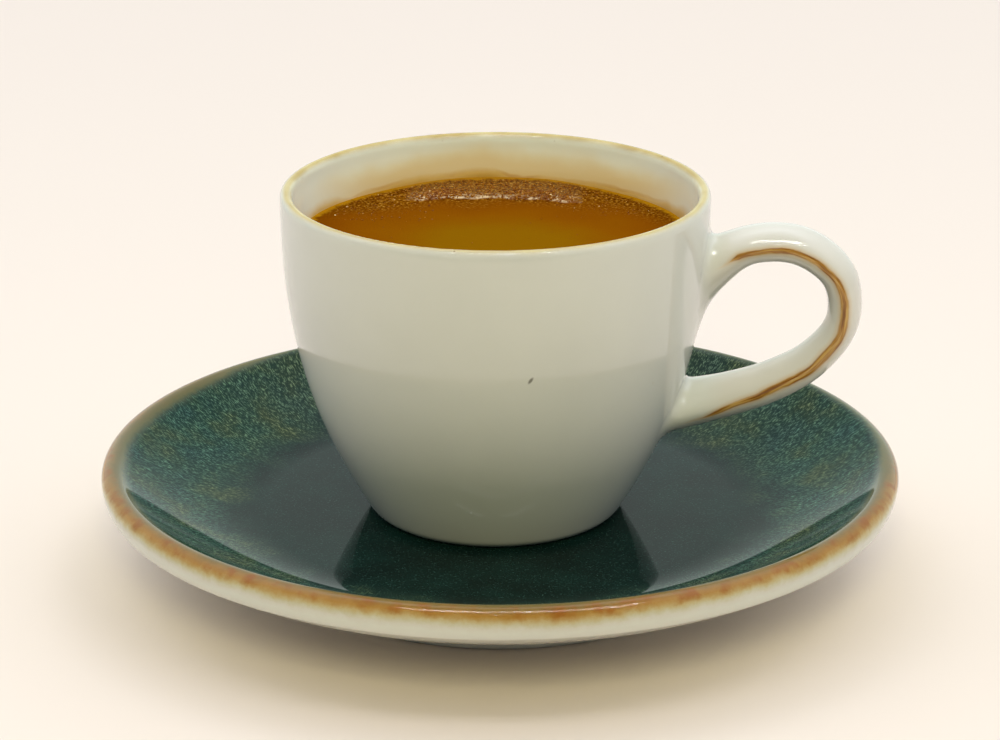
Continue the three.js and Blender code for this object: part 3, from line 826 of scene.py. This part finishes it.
def coffee_brew():
    """Freshly poured coffee under thin crema: opaque golden brown, matt with foam, golden at the edge, with
    a painted glint along the foam's front.
    """
    material, tree, shader, here = finish_named("brewed_coffee", CUP_AXIS)
    radius, outward, height = around(tree, here)
    cloud = add(tree, "ShaderNodeTexNoise", {"Vector": here, "Scale": 1 / BREW_CLOUD, "Detail": 4.0})
    sway = add(tree, "ShaderNodeMapRange", {"Value": cloud, "To Min": -BREW_SWAY, "To Max": BREW_SWAY})
    off_middle = add(tree, "ShaderNodeMapping", {
        "Vector": here, "Location": (0.5, -4.0, COFFEE_LEVEL), "Scale": (1.15, 1, 1)},
        vector_type="TEXTURE")
    away = add(tree, "ShaderNodeVectorMath", {0: off_middle}, out="Value", operation="LENGTH")
    moved = add(tree, "ShaderNodeMath", {0: away, 1: sway}, operation="ADD")
    body = by_distance(tree, moved, [
        (8, "#835804"), (16, "#814B03"), (22, "#7C4303"), (28, "#703E04"), (33, "#542B03")])
    around_back = add(tree, "ShaderNodeMapRange", {
        "Value": add(tree, "ShaderNodeSeparateXYZ", {0: outward}, out="Y"),
        "From Min": 0.2, "From Max": 0.6})
    outer = add(tree, "ShaderNodeMapRange", {"Value": moved, "From Min": 20.0, "From Max": 26.0})
    band = add(tree, "ShaderNodeMath", {0: around_back, 1: outer}, operation="MULTIPLY")
    grain = add(tree, "ShaderNodeTexNoise", {"Vector": here, "Scale": 1 / CREMA_GRAIN, "Detail": 2.0})
    specks = add(tree, "ShaderNodeValToRGB", {"Fac": grain}, stops=[
        (0.36, "#542A03"), (0.5, "#744206"), (0.6, "#925E0E"), (0.7, "#B88A38")])
    frothed = add(tree, "ShaderNodeMix", {0: band, 6: body, 7: specks}, out=2, data_type="RGBA")
    # Painted highlight: a pale, broken line along the foam's front slope stands in for the lamps' glint on
    # it
    ridge = add(tree, "ShaderNodeMapRange", {
        "Value": height, "From Min": COFFEE_LEVEL + 0.2, "From Max": COFFEE_LEVEL + 0.36})
    over = add(tree, "ShaderNodeMapRange", {
        "Value": height, "From Min": COFFEE_LEVEL + 0.55, "From Max": COFFEE_LEVEL + 0.42})
    front = add(tree, "ShaderNodeMapRange", {
        "Value": add(tree, "ShaderNodeSeparateXYZ", {0: here}, out="Y"),
        "From Min": FOAM_FRONT + 2.4, "From Max": FOAM_FRONT + 0.9})
    slope = add(tree, "ShaderNodeMath", {0: ridge, 1: over}, operation="MULTIPLY")
    painted_glint_line = add(tree, "ShaderNodeMath", {0: slope, 1: front}, operation="MULTIPLY")
    gaps = add(tree, "ShaderNodeTexNoise", {"Vector": here, "Scale": 1 / FOAM_GAP, "Detail": 2.0})
    broken = add(tree, "ShaderNodeMapRange", {"Value": gaps, "From Min": 0.44, "From Max": 0.6})
    pale = add(tree, "ShaderNodeMath", {0: painted_glint_line, 1: broken}, operation="MULTIPLY")
    streaked = add(tree, "ShaderNodeMix", {
        0: pale, 6: frothed, 7: linear("#D9BC90")}, out=2, data_type="RGBA")
    edge = cavity_radius(COFFEE_LEVEL)
    uneven = add(tree, "ShaderNodeMapRange", {"Value": gaps, "To Min": -0.8, "To Max": 0.8})
    reach = add(tree, "ShaderNodeMath", {0: radius, 1: uneven}, operation="ADD")
    rim = add(tree, "ShaderNodeMapRange", {"Value": reach, "From Min": edge - 1.1, "From Max": edge - 0.2},
              interpolation_type="SMOOTHSTEP")
    colour = add(tree, "ShaderNodeMix", {
        0: rim, 6: streaked, 7: linear("#AE7A10")}, out=2, data_type="RGBA")
    gloss = add(tree, "ShaderNodeMath", {0: ridge, 1: 0.25}, operation="MULTIPLY")
    rough = add(tree, "ShaderNodeBump", {"Height": grain, "Distance": 0.1 * MM, "Strength": 0.6})
    tree.links.new(colour, shader.inputs["Base Color"])
    tree.links.new(gloss, shader.inputs["Specular IOR Level"])
    tree.links.new(rough, shader.inputs["Normal"])
    shader.inputs["Roughness"].default_value = 0.25
    shader.inputs["IOR"].default_value = 1.33
    return material


def coffee_foam():
    """Bubbles of coffee film: wet brown skins with a faint glint of their own; the pale tan ones are partly
    pale froth, partly a painted glint.
    """
    material, tree, shader, here = finish_named("coffee_foam", CUP_AXIS)
    cloud = add(tree, "ShaderNodeTexNoise", {"Vector": here, "Scale": 1 / BUBBLE_TINT, "Detail": 2.0})
    # The palest tan stop is partly pale froth and partly a painted glint on the bubbles
    colour = add(tree, "ShaderNodeValToRGB", {"Fac": cloud}, stops=[
        (0.38, "#6E3804"), (0.52, "#8C5206"), (0.64, "#A8701C"), (0.76, "#E4C890")])
    tree.links.new(colour, shader.inputs["Base Color"])
    shader.inputs["Specular IOR Level"].default_value = 0.2
    shader.inputs["Roughness"].default_value = 0.05
    shader.inputs["IOR"].default_value = 1.33
    return material


# Studio

def make_floor():
    """A matt cream floor that ends a little in front of the object, so that it lights the front less."""
    front = [(-FLOOR_FAR, -FLOOR_FRONT, 0), (FLOOR_FAR, -FLOOR_FRONT, 0)]
    back = [(FLOOR_FAR, FLOOR_FAR, 0), (-FLOOR_FAR, FLOOR_FAR, 0)]
    mesh = bpy.data.meshes.new("studio_floor")
    mesh.from_pydata(front + back, [], [(0, 1, 2, 3)])
    floor = bpy.data.objects.new("studio_floor", mesh)
    bpy.context.collection.objects.link(floor)
    material, _, shader, _ = finish_named("matt_cream_floor", (0, 0, 0))
    shader.inputs["Base Color"].default_value = linear("#EEE1D6")
    shader.inputs["Roughness"].default_value = 0.9
    shader.inputs["Specular IOR Level"].default_value = 0.0
    mesh.materials.append(material)


def lamp(name, place, size, watts):
    """A square light at a place in metres, facing the object."""
    light = bpy.data.lights.new(name, "AREA")
    light.size = size
    light.energy = watts
    holder = bpy.data.objects.new(name, light)
    holder.location = place
    holder.rotation_euler = Vector(place).to_track_quat("Z", "Y").to_euler()
    bpy.context.collection.objects.link(holder)
    return holder


def make_tent():
    """The tent: bright high at the sides, a glow behind, dim at the open front, cream to the camera."""
    world = bpy.data.worlds.new("light_tent")
    bpy.context.scene.world = world
    world.use_nodes = True
    tree = world.node_tree
    way = add(tree, "ShaderNodeTexCoord", out="Generated")
    flat = add(tree, "ShaderNodeVectorMath", {0: way, 1: (1, 1, 0)}, operation="MULTIPLY")
    level = add(tree, "ShaderNodeVectorMath", {0: flat}, operation="NORMALIZE")
    depth = add(tree, "ShaderNodeSeparateXYZ", {0: level}, out="Y")
    height = add(tree, "ShaderNodeSeparateXYZ", {0: way}, out="Z")
    sides = by_distance(tree, height, [
        (0.0, "#333437"), (0.34, "#8B8E95"), (0.64, "#C0C4CD"), (0.87, "#D7DCE6"), (1.0, "#28292B")])
    back = by_distance(tree, height, [
        (0.0, "#AAB2AE"), (0.34, "#A3ACA8"), (0.64, "#A6ADAE"), (0.87, "#EEF3FF"), (1.0, "#28292B")])
    to_back = add(tree, "ShaderNodeMapRange", {"Value": depth})
    to_front = add(tree, "ShaderNodeMapRange", {"Value": depth, "From Max": -1.0})
    walls = add(tree, "ShaderNodeMix", {0: to_back, 6: sides, 7: back}, out=2, data_type="RGBA")
    tone = add(tree, "ShaderNodeMix", {
        0: to_front, 6: walls, 7: linear("#333437")}, out=2, data_type="RGBA")
    seen = add(tree, "ShaderNodeLightPath", out="Is Camera Ray")
    shown = add(tree, "ShaderNodeMix", {0: seen, 6: tone, 7: linear("#A19B94")}, out=2, data_type="RGBA")
    tree.links.new(shown, tree.nodes["Background"].inputs["Color"])
    tree.nodes["Background"].inputs["Strength"].default_value = TENT_STRENGTH


def make_glint(place, lamps):
    """The mirror image of one row of lamps: a beaded strip that shows in the gloss only."""
    glint = lamp("bar_glint", place, LAMP_BAR_WIDE, GLINT_WATTS)
    glint.data.shape = "RECTANGLE"
    glint.data.size_y = GLINT_WIDTH
    glint.rotation_euler = (0, 0, CAMERA_AZIMUTH)
    glint.visible_diffuse = False
    glint.data.use_nodes = True
    tree = glint.data.node_tree
    place_on = add(tree, "ShaderNodeNewGeometry", out="Parametric")
    along = add(tree, "ShaderNodeSeparateXYZ", {0: place_on}, out="X")
    turns = add(tree, "ShaderNodeMath", {0: along, 1: float(lamps)}, operation="MULTIPLY")
    share = add(tree, "ShaderNodeMath", {0: turns}, operation="FRACT")
    bead = add(tree, "ShaderNodeMath", {0: share, 1: 0.5}, operation="LESS_THAN")
    tree.links.new(bead, tree.nodes["Emission"].inputs["Strength"])


def make_lamps():
    """A bar of small lamps above the front with its glints, a soft unmirrored light and a bare bulb."""
    right = Vector((math.cos(CAMERA_AZIMUTH), math.sin(CAMERA_AZIMUTH), 0))
    away = Vector((-right.y, right.x, 0))
    steps = round(LAMP_BAR_WIDE / LAMP_SPACING)
    rows = [(x * LAMP_SPACING, side * LAMP_BAR_DEEP / 2)
            for x in np.arange(steps + 1) - steps / 2 for side in (-1, 1)]
    ends = [(side * LAMP_BAR_WIDE / 2, y)
            for y in (-LAMP_SPACING / 2, LAMP_SPACING / 2) for side in (-1, 1)]
    for x, y in rows + ends:
        lamp("bar_lamp", Vector(LAMP_BAR) + right * float(x) + away * float(y), LAMP_SIZE, LAMP_WATTS)
    for side in (-1, 1):
        make_glint(Vector(LAMP_BAR) + away * (side * LAMP_BAR_DEEP / 2), steps)
    front = lamp("front_light", FRONT_LIGHT, FRONT_LIGHT_SIZE, FRONT_LIGHT_WATTS)
    front.data.color = linear("#FFF9BF")[:3]
    front.visible_glossy = False
    lamp("bare_bulb", BULB, BULB_SIZE, BULB_WATTS).visible_diffuse = False
    bpy.context.scene.view_settings.view_transform = "Standard"


def make_camera():
    """The camera at the photo's viewing angle."""
    data = bpy.data.cameras.new("photo_view")
    data.lens = CAMERA_LENS
    data.sensor_width = CAMERA_SENSOR
    data.clip_start = 0.01
    camera = bpy.data.objects.new("photo_view", data)
    across = CAMERA_DISTANCE * math.cos(CAMERA_ELEVATION)
    camera.location = Vector((
        across * math.sin(CAMERA_AZIMUTH),
        -across * math.cos(CAMERA_AZIMUTH),
        CAMERA_TARGET_HEIGHT + CAMERA_DISTANCE * math.sin(CAMERA_ELEVATION),
    )) * MM
    camera.rotation_euler = (math.pi / 2 - CAMERA_ELEVATION, 0, CAMERA_AZIMUTH)
    bpy.context.collection.objects.link(camera)
    bpy.context.scene.camera = camera


make_camera()
make_tent()
make_lamps()
make_floor()
make_saucer()
make_cup()
make_coffee()
make_bubbles()
